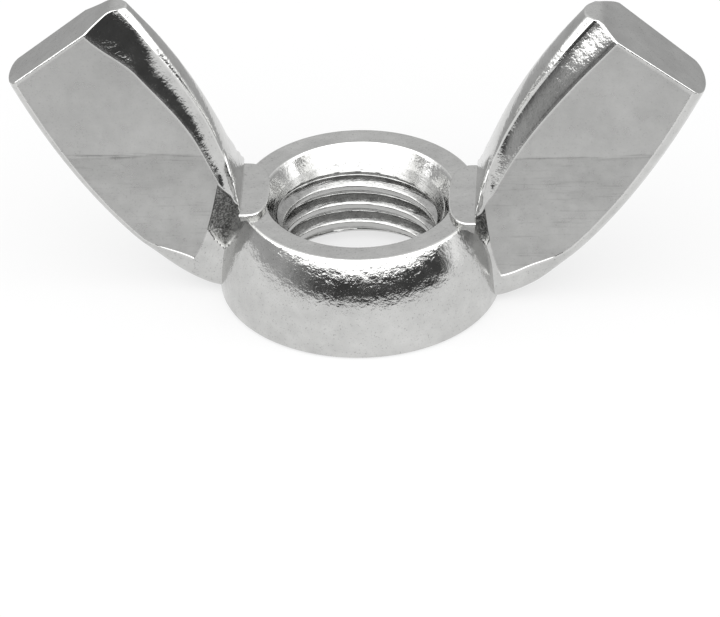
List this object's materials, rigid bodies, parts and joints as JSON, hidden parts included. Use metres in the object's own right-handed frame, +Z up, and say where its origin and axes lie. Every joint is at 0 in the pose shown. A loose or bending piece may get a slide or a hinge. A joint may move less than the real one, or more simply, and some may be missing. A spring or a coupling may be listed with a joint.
{
  "type": "wing nut",
  "caption": "Cold-forged steel wing nut with two curved horn wings, flat stamped panels and a tapped, countersunk boss.",
  "frame": {"origin": "centre of the bore on the flat bearing face under the boss", "axes": "+Z up the thread's axis, from the bearing face towards the wing tips; +X towards the right wing; +Y to the back"},
  "size_m": [0.032, 0.013, 0.0152],
  "materials": {
    "plated_steel": "bright zinc-nickel plate over cold-forged steel, satin on the stamped panels",
    "thread_steel": "plated tapped thread, with fine tool marks"
  },
  "bodies": {
    "root": {"boss": "plated_steel", "left_wing": "plated_steel", "right_wing": "plated_steel", "internal_thread": "thread_steel"}
  },
  "joints": []
}
